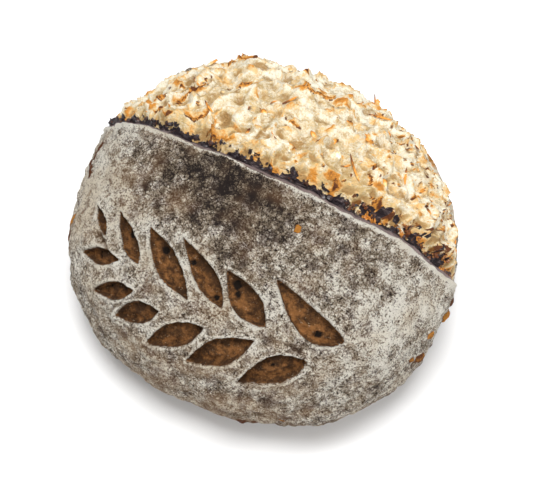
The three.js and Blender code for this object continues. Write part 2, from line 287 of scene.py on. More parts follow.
class Skin:
    """A grid wrapped round the loaf: rows from its left end to its right end, columns about X.

    knots gives the share of the columns and the angle behind the ear, in degrees, where the spacing
    changes."""

    def __init__(self, columns, rows, knots):
        shares, angles = zip(*knots)
        polar = np.linspace(0.0, math.pi, rows + 1)
        angle = np.interp(np.linspace(0.0, 1.0, columns + 1), shares, np.radians(angles))
        angle = angle[None, :] + turn_to_ear(polar)[:, None]
        self.shape = angle.shape
        self.direction = direction_at(np.repeat(polar, columns + 1), angle.ravel())
        self.place = round_body(self.direction)
        self.normal = outward(self.direction)
        self.behind, self.share = across_score(self.place)
        self.ends = np.where(self.place[:, 2] > 0, smooth(self.place[:, 2], *SCORE_END), 0.0)
        self.places = self.place.reshape(*self.shape, 3)
        self.steps = [np.linalg.norm(np.gradient(self.places, axis=i), axis=2) + 1e-6 for i in (0, 1)]
        self.area = (self.steps[0] * self.steps[1]).ravel()
        self.marks = {}

    def grid(self, values):
        return np.array(values, float).reshape(self.shape)

    def patch(self, centre, reach, turn=0.0):
        """The part of the grid near one of its points, with places along and across a direction."""
        row, column = divmod(int(centre), self.shape[1])
        rows, columns = (int(reach / step[row, column]) + 2 for step in self.steps)
        first_row, first_column = max(row - rows, 0), max(column - columns, 0)
        part = np.s_[first_row : row + rows + 1, first_column : column + columns + 1]
        away = self.places[part] - self.places[row, column]
        along, across = self.ways(centre)
        u, v = away @ along, away @ across
        return part, u * math.cos(turn) + v * math.sin(turn), v * math.cos(turn) - u * math.sin(turn)

    def ways(self, centre):
        """Directions on the skin at a point: towards the right end, and about X towards the back."""
        row, column = divmod(int(centre), self.shape[1])
        last = self.shape[0] - 1
        along = self.places[min(row + 1, last), column] - self.places[max(row - 1, 0), column]
        normal = self.normal[centre]
        along = along - normal * (along @ normal)
        along /= np.linalg.norm(along) + 1e-9
        return along, np.cross(normal, along)

    def nearest(self, x, y, z):
        return int(np.argmin(((self.place - (x, y, z)) ** 2).sum(1)))

    def draw_places(self, draw, chance, count, apart):
        """Points drawn with a chance for each unit of area, no two closer than a distance."""
        weight = chance.ravel() * self.area
        kept = np.empty((0, 3))
        chosen = []
        for i in draw.choice(weight.size, size=count * 5, p=weight / weight.sum()):
            if len(kept) == 0 or ((kept - self.place[i]) ** 2).sum(1).min() > apart**2:
                kept = np.vstack([kept, self.place[i]])
                chosen.append(i)
            if len(chosen) == count:
                break
        return chosen

    def raised(self, height):
        """The points of the skin at a height over the body, set onto the loaf's flat base."""
        height = height.ravel() * self.above_base()
        return onto_base(self.place + self.normal * height[:, None])

    def above_base(self):
        return smooth(self.direction[:, 2], *BASE_FADE)

    def mesh(self, name, points):
        """A closed mesh from the grid, with the marks as attributes."""
        rows, columns = self.shape[0] - 1, self.shape[1] - 1
        bm = bmesh.new()
        bmesh.ops.create_grid(bm, x_segments=columns, y_segments=rows, size=1.0)
        mesh = bpy.data.meshes.new(name)
        bm.to_mesh(mesh)
        flat = np.empty(len(mesh.vertices) * 3, np.float32)
        mesh.vertices.foreach_get("co", flat)
        column = np.rint((flat[0::3] + 1) / 2 * columns).astype(int)
        row = np.rint((flat[1::3] + 1) / 2 * rows).astype(int)
        order = row * (columns + 1) + column
        mesh.vertices.foreach_set("co", (points[order] * MM).astype(np.float32).ravel())
        for mark, values in self.marks.items():
            set_attribute(mesh, mark, values.ravel()[order])
        bm.clear()
        bm.from_mesh(mesh)
        rim = (row == 0) | (row == rows) | (column == 0) | (column == columns)
        bmesh.ops.remove_doubles(bm, verts=[v for v, on_rim in zip(bm.verts, rim) if on_rim], dist=1e-6)
        bmesh.ops.recalc_face_normals(bm, faces=bm.faces)
        bm.to_mesh(mesh)
        bm.free()
        return mesh


def blurred(field, reach):
    """The field averaged over a square of the grid, three times over, so that it comes out soft."""
    for axis in (0, 1) * 3:
        width = [(reach + 1, reach) if i == axis else (0, 0) for i in (0, 1)]
        total = np.cumsum(np.pad(field, width, mode="edge"), axis=axis)
        count = total.shape[axis]
        high = np.take(total, range(2 * reach + 1, count), axis=axis)
        low = np.take(total, range(count - 2 * reach - 1), axis=axis)
        field = (high - low) / (2 * reach + 1)
    return field


def set_attribute(mesh, name, values):
    attribute = mesh.attributes.new(name, "FLOAT", "POINT")
    attribute.data.foreach_set("value", np.asarray(values, np.float32))


def to_object(mesh, material, soft=True):
    mesh.polygons.foreach_set("use_smooth", [soft] * len(mesh.polygons))
    mesh.materials.append(material)
    piece = bpy.data.objects.new(mesh.name, mesh)
    bpy.context.scene.collection.objects.link(piece)
    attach(piece, BODY)
    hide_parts(NODE)


def ball(divisions):
    """The points and triangles of a ball of radius 1."""
    bm = bmesh.new()
    bmesh.ops.create_icosphere(bm, subdivisions=divisions, radius=1.0)
    points = np.array([v.co for v in bm.verts])
    faces = np.array([[v.index for v in f.verts] for f in bm.faces])
    bm.free()
    return points, faces


class Scatter:
    """Many small pieces that are joined in one mesh, all of one shape that is sized, bent and turned."""

    def __init__(self, divisions):
        self.shape, self.faces = ball(divisions)
        self.points = []
        self.marks = []

    def add(self, foot, ways, size, curl=0.0, sway=0.0, rough=0.0, seed=0, mark=(0.0, 0.0)):
        """ways are the directions of length, width and thickness. mark is given at root and tip."""
        p = self.shape.copy()
        if rough:
            p *= 1 + rough * soft_noise(p * 3.0, 1.6, seed, 2)[:, None]
        along = p[:, 0]
        p = p * np.array(size) / 2
        p[:, 1] += sway * size[0] * (along**2 - 1) / 2
        p[:, 2] += curl * size[0] * (along**2 - 1) / 2
        self.points.append(foot + p @ np.array(ways))
        self.marks.append(lerp(*mark, 0.5 + 0.5 * along))

    def mesh(self, name, mark):
        count = len(self.shape)
        points = np.concatenate(self.points) * MM
        faces = np.concatenate([self.faces + i * count for i in range(len(self.points))])
        mesh = bpy.data.meshes.new(name)
        mesh.from_pydata(points.tolist(), [], faces.tolist())
        set_attribute(mesh, mark, np.concatenate(self.marks))
        return mesh


def any_turn(draw):
    return draw.uniform(-math.pi, math.pi)


def leaning(normal, along, turn, lean):
    """The ways of a piece along a direction on the skin, turned about the normal and leaning up."""
    across = np.cross(normal, along)
    length = along * math.cos(turn) + across * math.sin(turn)
    width = np.cross(normal, length)
    up = normal * math.cos(lean) - length * math.sin(lean)
    return np.array([length * math.cos(lean) + normal * math.sin(lean), width, up])


# ---------- leaves ----------


def pattern_plane(p):
    """Place of points along the sprig and across it."""
    up = np.array([0.0, math.sin(PATTERN_SLOPE), math.cos(PATTERN_SLOPE)])
    return p[:, 0], (p - np.array(PATTERN_MIDDLE)) @ up


def leaf_inside(p):
    """How far each point is inside the nearest leaf's outline, negative outside it.

    Also how far up the leaf it lies from the lower edge, from 0 to 1."""
    along, across = pattern_plane(p)
    best = np.full(len(p), -FAR_OFF)
    raised = np.zeros(len(p))
    front = (p[:, 1] < 0) & (p[:, 2] > 0)
    for a, c, length, turn, above, below, widest in LEAVES:
        turn = math.radians(turn)
        u = (along - a) * math.cos(turn) + (across - c) * math.sin(turn)
        v = -(along - a) * math.sin(turn) + (across - c) * math.cos(turn)
        skew = math.log(0.5) / math.log(widest)
        ends = np.clip(u / length, 0.0, 1.0)
        rise = np.sin(math.pi * ends**skew)
        widest_half = np.where(v < 0, above, below)
        half = widest_half * rise
        slope = widest_half * math.pi / length * np.abs(np.cos(math.pi * ends**skew)) * skew
        inside = (half - np.abs(v)) / np.sqrt(1 + slope**2)
        beyond = np.maximum(-u, u - length)
        outside = -np.hypot(np.maximum(0, beyond), np.abs(v))
        distance = np.where(beyond > 0, outside, inside)
        distance = np.where(front, distance, -FAR_OFF)
        higher = np.clip(0.5 - v / (above + below), 0.0, 1.0)
        raised = np.where(distance > best, higher, raised)
        best = np.maximum(best, distance)
    return best, raised


# ---------- materials ----------


class Socket:
    """An output of a node that works in expressions."""

    def __init__(self, paint, output):
        self.paint = paint
        self.output = output

    def maths(self, operation, *others):
        return self.paint.node("Math", {"operation": operation}, dict(enumerate((self, *others))))

    def __add__(self, other):
        return self.maths("ADD", other)

    def __sub__(self, other):
        return self.maths("SUBTRACT", other)

    def __mul__(self, other):
        return self.maths("MULTIPLY", other)

    def __rsub__(self, other):
        return self.paint.node("Math", {"operation": "SUBTRACT"}, {0: other, 1: self})

    __radd__ = __add__
    __rmul__ = __mul__

    def step(self, low, high):
        settings = {"interpolation_type": "SMOOTHSTEP"}
        return self.paint.node("MapRange", settings, {"Value": self, "From Min": low, "From Max": high})


class Paint:
    """A material made of nodes."""

    def __init__(self, name, specular=0.3):
        self.material = bpy.data.materials.new(name)
        self.material.use_nodes = True
        self.tree = self.material.node_tree
        self.shader = self.tree.nodes["Principled BSDF"]
        self.shader.inputs["Specular IOR Level"].default_value = specular
        self.place = self.node("TexCoord", {}, {}, "Object")

    def node(self, kind, settings, inputs, output=0):
        made = self.tree.nodes.new("ShaderNode" + kind)
        for name, value in settings.items():
            setattr(made, name, value)
        for name, value in inputs.items():
            self.plug(made.inputs[name], value)
        return Socket(self, made.outputs[output])

    def plug(self, socket, value):
        if isinstance(value, Socket):
            self.tree.links.new(value.output, socket)
        else:
            socket.default_value = value

    def attribute(self, name):
        return self.node("Attribute", {"attribute_name": name}, {}, "Fac")

    def noise(self, size, detail=2.0, roughness=0.5, stretch=(1, 1, 1), shift=0.0):
        """Noise about 0, mostly between -1 and 1, with bumps of a size in millimetres."""
        scale = {"Vector": self.place, "Scale": stretch, "Location": (shift, shift, shift)}
        vector = self.node("Mapping", {}, scale)
        inputs = {"Vector": vector, "Scale": 1 / (size * MM), "Detail": detail, "Roughness": roughness}
        return (self.node("TexNoise", {}, inputs, "Fac") - 0.5) * 6.0

    def cells(self, size):
        """Cracked cells of a size in millimetres: from about -1 in a crack to 0 inside a cell."""
        inputs = {"Vector": self.place, "Scale": 1 / (size * MM), "Detail": 3.0}
        wobble = self.node("TexNoise", {}, inputs, "Color")
        wobble = self.node("VectorMath", {"operation": "SCALE"}, {0: wobble, "Scale": size * MM})
        place = self.node("VectorMath", {"operation": "ADD"}, {0: self.place, 1: wobble})
        inputs = {"Vector": place, "Scale": 0.8 / (size * MM)}
        edge = self.node("TexVoronoi", {"feature": "DISTANCE_TO_EDGE"}, inputs, "Distance")
        return edge.step(0.0, 0.12) - 1.0

    def seam(self, streak, colours):
        """Burnt skin with paler streaks along it, most of them near the ear."""
        ashen = 1.2 * self.attribute("ash") + 0.5 * streak - 0.05
        return self.mix(ashen.step(0.0, 1.2), colours.burnt, colours.ash)

    def mix(self, share, a, b):
        def colour(value):
            return value if isinstance(value, Socket) else (*value, 1.0)

        inputs = {0: share, 6: colour(a), 7: colour(b)}
        return self.node("Mix", {"data_type": "RGBA"}, inputs, 2)

    def bump(self, height, depth):
        """A normal from a height that stands for a depth in millimetres."""
        return self.node("Bump", {}, {"Height": height, "Distance": depth * MM, "Strength": 1.0})

    def set(self, name, value):
        self.plug(self.shader.inputs[name], value)


def srgb(r, g, b):
    """A linear colour from a swatch's 0 to 255 values."""
    return tuple(((v / 255 + 0.055) / 1.055) ** 2.4 if v > 10 else v / 255 / 12.92 for v in (r, g, b))


def swatch(name, description, r, g, b):
    return bpy.props.FloatVectorProperty(
        name=name, description=description, subtype="COLOR", size=3, default=srgb(r, g, b)
    )


def length(name, description, millimetres):
    return bpy.props.FloatProperty(
        name=name, description=description, unit="LENGTH", default=millimetres * MM
    )


def number(name, description, value):
    return bpy.props.IntProperty(name=name, description=description, min=1, default=value)


class LoafColours(bpy.types.PropertyGroup):
    flour: swatch("Flour", "Thick flour on the crust", 251, 245, 232)
    dust: swatch("Dusting", "Thin flour, tinted by the crust", 230, 203, 168)
    crust: swatch("Crust", "Dark crust under the flour", 40, 30, 27)
    tan: swatch("Tan crust", "Paler crust low down", 112, 82, 58)
    floor: swatch("Leaf floor", "Baked crumb in the leaf cuts", 166, 112, 62)
    cream: swatch("Bloom", "Pale skin of the bloom", 250, 243, 222)
    # Beige tints the flour low on the crust and the bloom's warmer crumb, and also paints the shade in the
    # bloom's hollows.
    beige: swatch("Bloom hollows", "Warmer crumb in the bloom's hollows", 206, 178, 124)
    honey: swatch("Honey", "Lightly toasted bloom", 234, 198, 138)
    golden: swatch("Golden", "Toasted edges of the bloom", 218, 146, 60)
    # Brown also paints the shadow lines under the bloom's scales.
    brown: swatch("Brown", "Deep-baked tears", 104, 58, 29)
    burnt: swatch("Burnt", "Burnt edge behind the ear", 38, 29, 33)
    ash: swatch("Ash", "Paler streaks along the ear", 168, 148, 146)


class LoafSizes(bpy.types.PropertyGroup):
    ear_lift: length("Ear lift", "Rise of the ear's rim over the dome", EAR_LIFT)
    bloom_rise: length("Bloom rise", "Rise of the bloom over the dome", BLOOM_RISE)
    leaf_depth: length("Leaf depth", "Depth of the leaf cuts", LEAF_DEPTH)
    flake_length: length("Flake length", "Length of the longest torn flakes", 8.0)
    shard_length: length("Shard length", "Length of the longest burnt shards", 5.5)
    flakes: number("Flakes", "Loose flakes on the bloom", 60)
    shards: number("Shards", "Burnt shards along the ear", 320)
    strands: number("Strands", "Thin brown strands on the bloom", 24)


# How rough each finish is, and the depth in millimetres that its fine bumps stand for.
CRUST_ROUGHNESS = 0.92
BLOOM_ROUGHNESS = 0.78
FLAKE_ROUGHNESS = 0.7
SHARD_ROUGHNESS = 0.45
CRUST_BUMP = 0.6
BLOOM_BUMP = 0.36


def crust_material(colours):
    paint = Paint("floured_crust", 0.25)
    grain = paint.noise(0.9, 3, 0.8)
    fleck = paint.noise(2.8, 3, 0.7, shift=3.0)
    patch = paint.noise(9, 4, 0.6, shift=7.0)
    streak = paint.noise(1.6, 2, 0.6, (0.16, 1, 1), 13.0)
    cell = paint.cells(3.8) * (0.5 + 0.8 * fleck).step(0.0, 1.2)
    pore = (paint.noise(1.3, 3, 0.7, shift=17.0) - 0.15).step(0.0, 1.0)
    flour = paint.attribute("flour")
    thickness = flour + 0.34 * grain + 0.24 * fleck + 0.29 * patch + 0.5 * cell - 1.0 * pore
    cover = thickness.maths("MAXIMUM", 0.0).maths("POWER", 1.5)
    lower = (paint.attribute("tan") + 0.5 * paint.noise(20, 2, shift=11.0)).step(-0.2, 1.1)
    under = paint.mix(lower, colours.crust, colours.tan)
    dust = paint.mix(0.5 * paint.noise(9, 3, 0.6, shift=21.0).step(-0.1, 0.8), colours.dust, colours.ash)
    flour = paint.mix(0.35 * lower, colours.flour, colours.beige)
    outer = paint.mix(cover, under, paint.mix(thickness.step(0.35, 1.05), dust, flour))
    gold = paint.attribute("gold") + 0.25 * fleck
    bare = paint.mix(gold.step(0.2, 0.9), colours.brown, colours.golden)
    bare = paint.mix(gold.step(1.0, 1.6), bare, colours.cream)
    outer = paint.mix((paint.attribute("bare") + 0.1 * grain).step(0.2, 0.7), outer, bare)
    char = (paint.attribute("char") + 0.2 * streak).step(0.35, 0.75)
    outer = paint.mix(char, outer, paint.seam(streak, colours))
    floor_grain = paint.noise(5.0, 4, 0.65, shift=5.0)
    # Leaf floors: mottled baked crumb, with painted shade from the shade mark that darkens them towards their
    # upper walls and along the walls.
    mottle_and_shade = (0.6 - 0.6 * paint.attribute("shade") + 0.36 * floor_grain + 0.14 * grain).step(0.0, 0.9)
    floor = paint.mix(mottle_and_shade, tuple(0.2 * v for v in colours.floor), tuple(1.2 * v for v in colours.floor))
    floor = paint.mix((grain + fleck - 1.15).step(0.0, 0.5) * 0.6, floor, colours.dust)
    # The bubble holes are painted nearly black: painted shade inside them.
    floor = paint.mix(paint.attribute("hole"), floor, tuple(0.03 * v for v in colours.floor))
    cut = (paint.attribute("leaf") + 0.12 * grain).step(-0.12, 0.22)
    paint.set("Base Color", paint.mix(cut, outer, floor))
    paint.set("Roughness", CRUST_ROUGHNESS)
    paint.set("Normal", paint.bump(grain + 1.2 * fleck + 0.8 * cell - 2.0 * pore, CRUST_BUMP))
    return paint.material


def toasted(paint, toast, pale, colours):
    """Pale crumb that turns honey, golden and brown as it is toasted more."""
    colour = paint.mix(toast.step(0.05, 0.45), pale, colours.honey)
    colour = paint.mix(toast.step(0.4, 0.75), colour, colours.golden)
    return paint.mix(toast.step(0.8, 1.25), colour, colours.brown)


def bloom_material(colours):
    paint = Paint("bloom_crust", 0.3)
    fine = paint.noise(1.2, 3, 0.7)
    patch = paint.noise(6, 3, 0.6, shift=4.0)
    # The bloom goes from cream to beige for warmer crumb and for painted shade in its hollows.
    warmth_and_shade = (paint.attribute("beige") + 0.3 * patch + 0.45 * fine).step(-0.2, 1.5)
    pale = paint.mix(warmth_and_shade, colours.cream, colours.beige)
    colour = toasted(paint, paint.attribute("toast") + 0.16 * patch + 0.14 * fine, pale, colours)
    # Brown for deep-baked tears and for the painted shadow lines under the scales' edges.
    colour = paint.mix((paint.attribute("deep_baked_and_shadow") + 0.2 * fine).step(0.35, 0.9), colour, colours.brown)
    # Painted shade: the shade mark darkens the bloom towards a dark golden brown.
    shaded = tuple(0.4 * v for v in colours.golden)
    colour = paint.mix((paint.attribute("shade") + 0.2 * fine).step(0.1, 1.5) * 0.6, colour, shaded)
    pit = (paint.noise(1.3, 3, 0.75, shift=19.0) - 0.7).step(0.0, 1.0)
    colour = paint.mix(0.35 * pit, colour, colours.tan)
    speck = (paint.noise(1.7, 2, 0.6, shift=9.0) + paint.attribute("specks")).step(0.95, 1.35)
    colour = paint.mix(0.7 * speck, colour, colours.brown)
    streak = paint.noise(1.6, 2, 0.6, (0.16, 1, 1), 13.0)
    char = paint.attribute("char")
    colour = paint.mix((char + 0.12 * fine).step(0.4, 0.6), colour, paint.seam(streak, colours))
    paint.set("Base Color", colour)
    paint.set("Roughness", BLOOM_ROUGHNESS - 0.4 * char)
    paint.set("Normal", paint.bump(fine + 0.6 * patch + 0.8 * streak * char, BLOOM_BUMP))
    return paint.material


def flake_material(colours):
    paint = Paint("toasted_flakes", 0.3)
    toast = paint.attribute("toast") + 0.16 * paint.noise(2.0, 3, 0.6)
    paint.set("Base Color", toasted(paint, toast, colours.cream, colours))
    paint.set("Roughness", FLAKE_ROUGHNESS)
    return paint.material


def shard_material(colours):
    paint = Paint("burnt_edge", 0.6)
    toast = paint.attribute("toast") + 0.2 * paint.noise(1.6, 3, 0.6)
    colour = paint.mix(toast.step(0.15, 0.6), colours.burnt, colours.brown)
    paint.set("Base Color", paint.mix(toast.step(0.75, 1.2), colour, colours.golden))
    paint.set("Roughness", SHARD_ROUGHNESS)
    return paint.material


# ---------- the floured crust ----------

CRUST_COLUMNS = 300
CRUST_ROWS = 330
CRUST_KNOTS = (
    (0, -235), (0.05, -150), (0.12, -104), (0.76, -5), (0.83, 3), (0.88, 9), (0.9, 30), (0.92, 60),
    (0.96, 88), (1, 125),
)
# More or less flour, its place on the body and its reach.
FLOUR = 0.76
FLOUR_ZONES = (
    (-0.56, (-12, -9, 79), 32),
    (-0.3, (-62, -8, 70), 30),
    (-0.08, (20, -20, 77), 26),
    (0.32, (-98, -22, 44), 34),
    (0.12, (-92, 5, 56), 16),
    (0.32, (106, -20, 42), 32),
    (0.04, (98, -52, 37), 30),
    (-0.14, (34, -108, 8), 38),
    (-0.1, (74, -12, 68), 22),
    (-0.1, (30, -12, 78), 26),
    (0.1, (-60, -40, 66), 26),
)
TAN_ZONES = (
    (0.8, (20, -112, -5), 60),
    (0.5, (-100, -30, 10), 40),
    (0.35, (-60, -30, 72), 22),
    (0.7, (-96, -45, 42), 24),
)
# Bits of bare crust: place, radius, rise, and how golden they are.
BARE_SPOTS = (
    ((32, -18, 77), 2.2, 0.8, 0.9), ((64, -97, -4), 2.4, 0.8, 0.6), ((-104, -48, 22), 3.4, 1, 0.9),
    ((-101, -58, 20), 2.8, 0.8, 0.4), ((-107, -20, 36), 3.6, 0.6, -0.4), ((-109, -13, 36), 3.8, 0.8, -0.5),
    ((-109, -5, 37), 4, 0.9, -0.4), ((119, 9, 15), 3, 1.2, 0.1), ((-92, 53, 44), 6, 0, -0.2),
    ((-86, 62, 43), 6, 0, 0), ((121, 1, 10), 4, 2.6, 0.8), ((120, -15, 13), 3.2, 1.8, 0.7),
    ((119, -27, 4), 3.2, 1.2, 0.4), ((117, -34, 10), 2.2, 1, 0.6), ((40, -104, -16), 3, 1, 0.1),
    ((48, -102, -15), 2.4, 0.6, 0.3), ((73, -80, 30), 1.6, 0.4, 0.6),
)
# Pits with less flour in the crust: place and radius.
PITS = (
    ((-98, 1, 50), 4), ((-77, -10, 64), 2.6), ((-76, -28, 62), 4), ((-61, -27, 69), 3.6),
    ((-49, -38, 71), 2.6), ((-39, -38, 73), 2.4), ((-50, -20, 73), 4), ((95, 6, 53), 3.6),
    ((104, 5, 44), 4), ((104, -13, 46), 3.6), ((76, -15, 65), 3.6), ((94, -18, 54), 3.4),
    ((72, -39, 63), 3.6), ((100, -62, 24), 4), ((-89, -20, 55), 2.6),
)
# Bubble holes in the leaves' floors: place along and across the sprig, and radius.
BUBBLES = (
    (-58.9, 24.3, 2.4), (-33.7, 25.9, 2.4), (-75.4, 1.1, 2.1), (-58.5, -10.6, 1.4), (-14.6, 27.2, 1.5),
    (6.9, 14.4, 1.8), (15, 26, 2.6), (17.4, 21, 2), (69.4, 15.9, 2.4), (51.8, -12.4, 1.2),
)
# Thin cracks in the crust, as points along and across the sprig, and how far a crack's sides spread.
CRACKS = (
    ((-82.7, 17.2), (-73.2, 11.1), (-61.8, 5.8)),
    ((56, 4.9), (62.1, 4), (65.5, 0.8), (66.7, -2.8), (73, -3.2)),
    ((62.1, 4), (65.5, 8.5), (62.8, 12.6)),
)
CRACK_WIDTH = 0.7
CRACK_DEPTH = 1.2
CRACK_SAG = 0.8
BUBBLE_DEPTH = 1.5
PIT_DEPTH = 0.7
FLOOR_BULGE = 0.9
# The bead along the ear's rim, the raised rim of a leaf cut, and the flour along the ear.
BEAD = {"rise": 0.8, "reach": 0.9}
LEAF_RIM = {"rise": 0.5, "reach": 1.0, "out": 0.8}
RIM_FLOUR = 1.0
# How far under the bloom the crust runs.
UNDER_BLOOM = 4.0
BACK_TAB = {"rise": 2.2, "x": -92.0, "reach": 13.0}


def from_cracks(along, across):
    """How far points of the sprig's plane lie from the nearest crack."""
    away = np.full(along.shape, FAR_OFF)
    for points in CRACKS:
        for (a, c), (b, d) in zip(points, points[1:]):
            length = (b - a) ** 2 + (d - c) ** 2
            t = np.clip(((along - a) * (b - a) + (across - c) * (d - c)) / length, 0.0, 1.0)
            away = np.minimum(away, np.hypot(along - a - t * (b - a), across - c - t * (d - c)))
    return away


def zones(p, places):
    total = np.zeros(len(p))
    for amount, at, reach in places:
        total += amount * np.exp(-(((p - np.array(at)) ** 2).sum(1) / reach**2))
    return total


@functools.cache
def crust_skin():
    skin = Skin(CRUST_COLUMNS, CRUST_ROWS, CRUST_KNOTS)
    p, behind, share = skin.place, skin.behind, skin.share
    sizes = bpy.context.scene.loaf_sizes
    lift = sizes.ear_lift / MM * lerp(EAR_LEFT_END[0], 1.0, smooth(p[:, 0], *EAR_LEFT_END[1:]))
    lift += waves(p, **EAR_WAVE) + 0.8 * soft_noise(p, 6.0, 3, 2)
    front = lift * np.exp(np.minimum(behind, 0) / EAR_RUN)
    crevice, floor = crevice_width(p[:, 0]), crevice_floor(p[:, 0])
    inner = lerp(lift, floor, smooth(behind, 0, crevice)) + 0.4 * soft_noise(p * (0.3, 1, 1), 2.5, 4, 2)
    under = np.minimum(floor, bloom_form(p, share) - UNDER_BLOOM)
    inner = np.where(behind < crevice, inner, lerp(floor, under, smooth(behind, crevice, crevice + 6)))
    tab = BACK_TAB["rise"] * np.exp(-(((p[:, 0] - BACK_TAB["x"]) / BACK_TAB["reach"]) ** 2))
    lip = (BACK_LIP + tab) * np.exp((1 - share) * BACK_LIP_FALL) + 0.4 * soft_noise(p, 8.0, 9, 2)
    torn_edge = 1 + 0.02 * soft_noise(p, 9.0, 5, 3)
    back = np.where(share > torn_edge, lip, lerp(lip, under, smooth(torn_edge - share, 0, 0.03)))
    height = skin.ends * np.where(behind <= 0, front, np.where(share > torn_edge - 0.03, back, inner))
    height += BEAD["rise"] * skin.ends * np.exp(-((behind / BEAD["reach"]) ** 2))
    height += dough_form(p) + 0.5 * soft_noise(p, 8.0, 21, 2) + 0.4 * soft_noise(p, 4.0, 23, 2)
    lumps = soft_noise(p, 3.2, 25, 3)
    height += 0.6 * lumps
    bare, gold = np.zeros(len(p)), np.zeros(len(p))
    for at, radius, rise, golden in BARE_SPOTS:
        away = away_from(p, at) / radius + 0.5 * soft_noise(p, 3.0, 27, 3)
        spot = smooth(1.15 - away, 0.0, 0.3)
        bare = np.maximum(bare, spot)
        gold = lerp(gold, golden, spot)
        height += rise * smooth(1.3 - away, 0.0, 0.8)
    strays = soft_noise(p, 7.0, 47, 3)
    back_edge = smooth(share, 0.85, 0.95) * smooth(1.1 + 0.08 * strays - share, 0.0, 0.1)
    back_edge *= smooth(p[:, 0] + 12.0 * strays, 50.0, 76.0) * (skin.ends > 0)
    bare = np.maximum(bare, back_edge)
    gold = lerp(gold, 1.5, back_edge)
    pitted = np.zeros(len(p))
    for at, radius in PITS:
        away = away_from(p, at) / radius + 0.6 * soft_noise(p, 3.0, 29, 2)
        pitted = np.maximum(pitted, smooth(1.4 - away, 0.0, 0.9))
    inside, raised = leaf_inside(p)
    ragged = inside + 0.3 * soft_noise(p, 3.0, 31, 2)
    depth = sizes.leaf_depth / MM * smooth(ragged, -0.3, 1.3) - FLOOR_BULGE * smooth(ragged, 1.0, 7.0)
    depth -= 0.6 * soft_noise(p, 4.0, 33, 2) * smooth(ragged, 0.5, 2.0)
    hole = np.zeros(len(p))
    along, across = pattern_plane(p)
    for a, c, radius in BUBBLES:
        away = np.hypot(along - a, across - c) / radius + 0.15 * soft_noise(p, 1.5, 35)
        hole = np.maximum(hole, smooth(1.15 - away, 0.0, 0.3) * (ragged > 0.3))
    depth += BUBBLE_DEPTH * hole
    cracked = from_cracks(along, across) + 0.4 * soft_noise(p, 3.0, 37, 2)
    cracked = np.exp(-np.maximum(cracked, 0.0) / CRACK_WIDTH) * (p[:, 1] < 0) * (p[:, 2] > 0)
    height += CRACK_SAG * np.exp(-np.maximum(cracked, 0.0)) - CRACK_SAG - CRACK_DEPTH * cracked
    out = np.minimum(ragged, 0) + LEAF_RIM["out"]
    rim = LEAF_RIM["rise"] * np.exp(-((out / LEAF_RIM["reach"]) ** 2)) * (ragged < 0.3)
    height += rim - depth * (ragged > -0.6)
    height -= PIT_DEPTH * pitted
    rim_width = 0.75 + 0.3 * soft_noise(p, 5.0, 41, 2) + 0.8 * smooth(np.abs(p[:, 0]), 30.0, 80.0)
    near_rim = np.exp(-(((behind - 0.2) / rim_width) ** 2)) * skin.ends
    rim_flour = RIM_FLOUR * near_rim * (0.95 + 0.4 * soft_noise(p, 2.5, 43, 2))
    # Raised lumps get more flour and their hollows less: partly flour, partly painted shade in the hollows.
    flour = FLOUR + zones(p, FLOUR_ZONES) + rim_flour - 0.25 * pitted + 0.15 * lumps
    flour -= 0.6 * cracked
    flour += 0.35 * np.exp(-(((ragged + 1.0) / 0.9) ** 2)) - 0.2 * smooth(-p[:, 2], 5.0, 40.0)
    # Painted shade along the walls of the leaf cuts, darkest just inside the edge.
    outline = 0.9 * np.exp(-(((ragged - 0.5) / 0.7) ** 2))
    charred = skin.ends * smooth(behind, 0.7, 2.0) * (share < 0.6)
    skin.marks = {
        "flour": flour,
        "tan": zones(p, TAN_ZONES) + 0.6 * smooth(-p[:, 2], 0.0, 30.0),
        "leaf": ragged,
        # Painted shade in the leaf cuts: darker towards the upper wall and along the walls.
        "shade": np.maximum(raised * smooth(ragged, 0.0, 2.0), outline),
        "hole": hole,
        "bare": bare,
        "gold": gold,
        "ash": smooth(9.0 - behind, 0.0, 7.0),
        "char": charred * smooth(20.0 - behind, 0.0, 4.0),
    }
    return skin, skin.raised(height)


class LOAF_OT_crust(bpy.types.Operator):
    """Makes the floured crust with its ear and leaf cuts"""

    bl_idname = "loaf.crust"
    bl_label = "Floured Crust"

    def execute(self, context):
        skin, points = crust_skin()
        to_object(skin.mesh("crust", points), crust_material(context.scene.loaf_colours))
        return {"FINISHED"}


# ---------- the torn bloom ----------

BLOOM_COLUMNS = 235
BLOOM_ROWS = 420
BLOOM_KNOTS = (
    (0, -235), (0.03, -60), (0.05, -2), (0.1, 3), (0.97, 86), (1, 125),
)
# Kinds of torn scale, largest first: count, lengths, widths for their length, rises and distance apart.
SCALES = (
    {"count": 30, "length": (14.0, 26.0), "width": (0.5, 1.0), "rise": (1.0, 2.2), "apart": 10.0},
    {"count": 120, "length": (5.0, 11.0), "width": (0.4, 1.2), "rise": (0.6, 1.5), "apart": 6.0},
    {"count": 260, "length": (2.5, 5.0), "width": (0.4, 0.9), "rise": (0.25, 0.6), "apart": 3.0},
    {"count": 520, "length": (2.5, 6.0), "width": (0.14, 0.3), "rise": (0.3, 0.7), "apart": 2.2},
)
# The way the scales' torn edges face, from the right end towards the back, and how far they stray.
TORN_TOWARDS = (math.radians(-50.0), math.radians(55.0))
DASHES_ON_RIGHT = 0.55
